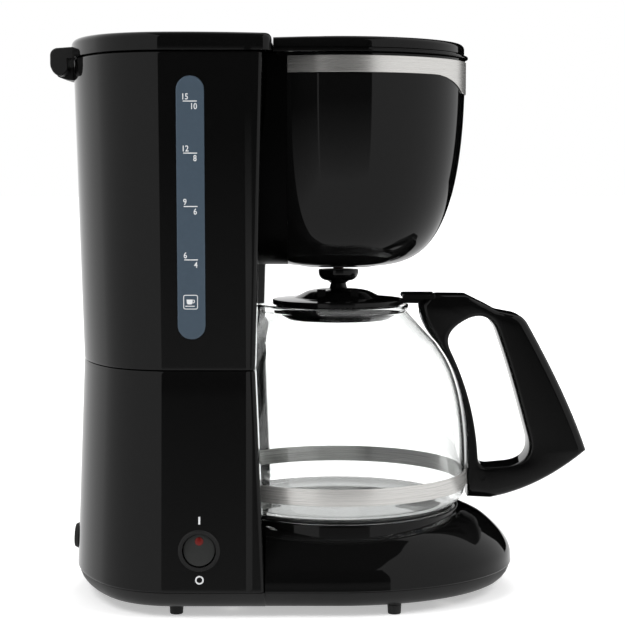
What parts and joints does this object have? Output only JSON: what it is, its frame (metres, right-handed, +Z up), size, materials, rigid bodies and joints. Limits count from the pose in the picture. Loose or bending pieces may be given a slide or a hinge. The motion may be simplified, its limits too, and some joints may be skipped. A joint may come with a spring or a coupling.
{
  "type": "drip coffee maker",
  "caption": "Drip coffee maker with a water tank column, hinged tank lid, swing-out filter holder, heated base and a glass carafe with a looped handle.",
  "frame": {"origin": "centre of the machine's box, on the surface the feet stand on", "axes": "+Z up, +X towards the carafe's handle at the front, +Y to the machine's left as it is seen from behind the handle"},
  "size_m": [0.3082, 0.1751, 0.3184],
  "materials": {
    "black_gloss": "polished black polypropylene",
    "black_satin": "fine satin",
    "rocker_grey": "satin",
    "gauge_tint": "tinted translucent",
    "lens_red": "translucent red",
    "rubber_black": "matte",
    "steel_pin": "turned",
    "steel_brushed": "brushed",
    "plate_coating": "non-stick coating",
    "heater_alu": "extruded",
    "ceramic_white": "matt",
    "clear_plastic": "natural",
    "silicone": "milky silicone",
    "valve_red": "moulded",
    "glass": "clear borosilicate"
  },
  "bodies": {
    "machine": {"tank_shell": "black_gloss", "level_gauge": "gauge_tint", "lid_hinge_bracket": "black_satin", "lid_hinge_pin": "steel_pin", "lower_housing": "black_gloss", "cord_gland": "black_satin", "switch_bezel": "black_satin", "base_cover": "black_gloss", "bottom_plate": "black_satin", "feet": "rubber_black", "bottom_screws": "steel_pin", "hot_plate": "plate_coating", "hot_plate_seal": "rubber_black", "heating_element": "heater_alu", "heater_clips": "steel_pin", "thermostat": "ceramic_white", "thermal_fuse": "ceramic_white", "tank_outlet": "clear_plastic", "inlet_hose": "silicone", "outlet_hose": "silicone", "riser_tube": "clear_plastic", "spray_head": "black_satin", "head_frame": "black_gloss", "head_cover": "black_gloss", "holder_hinge_pin": "steel_pin"},
    "lid": {"tank_lid": "black_gloss"},
    "holder": {"filter_holder": "black_gloss", "trim_band": "steel_brushed", "filter_basket": "black_satin", "drip_spring": "steel_pin", "drip_stop_cap": "black_satin"},
    "stopper": {"drip_valve": "valve_red"},
    "rocker": {"switch_rocker": "rocker_grey", "switch_lens": "lens_red"},
    "carafe": {"carafe_glass": "glass", "carafe_band": "steel_brushed", "carafe_handle": "black_gloss", "handle_screw": "steel_pin", "carafe_lid": "black_gloss", "carafe_lid_pin": "steel_pin"},
    "check_ball": {"valve_ball": "clear_plastic"}
  },
  "joints": [
    {"name": "lid_hinge", "type": "hinge", "parent": "machine", "child": "lid", "pos_m": [-0.1489, 0, 0.299], "axis": [0, -1, 0], "range_deg": [0, 100]},
    {"name": "holder_swing", "type": "hinge", "parent": "machine", "child": "holder", "pos_m": [-0.0159, 0.06299, 0.306], "axis": [0, 0, 1], "range_deg": [0, 90]},
    {"name": "carafe_slide", "type": "slide", "parent": "machine", "child": "carafe", "axis": [1, 0, 0], "range_m": [0, 0.17]},
    {"name": "stopper_slide", "type": "slide", "parent": "holder", "child": "stopper", "axis": [0, 0, 1], "range_m": [-0.0025, 0]},
    {"name": "rocker_tilt", "type": "hinge", "parent": "machine", "child": "rocker", "pos_m": [-0.0674, -0.08335, 0.03789], "axis": [1, 0, 0], "range_deg": [0, 14]},
    {"name": "check_ball_lift", "type": "slide", "parent": "machine", "child": "check_ball", "axis": [0, 0, 1], "range_m": [0, 0.0015]}
  ],
  "couplings": [
    {"joint": "stopper_slide", "follows": "carafe_slide", "ratio": -0.014706}
  ]
}
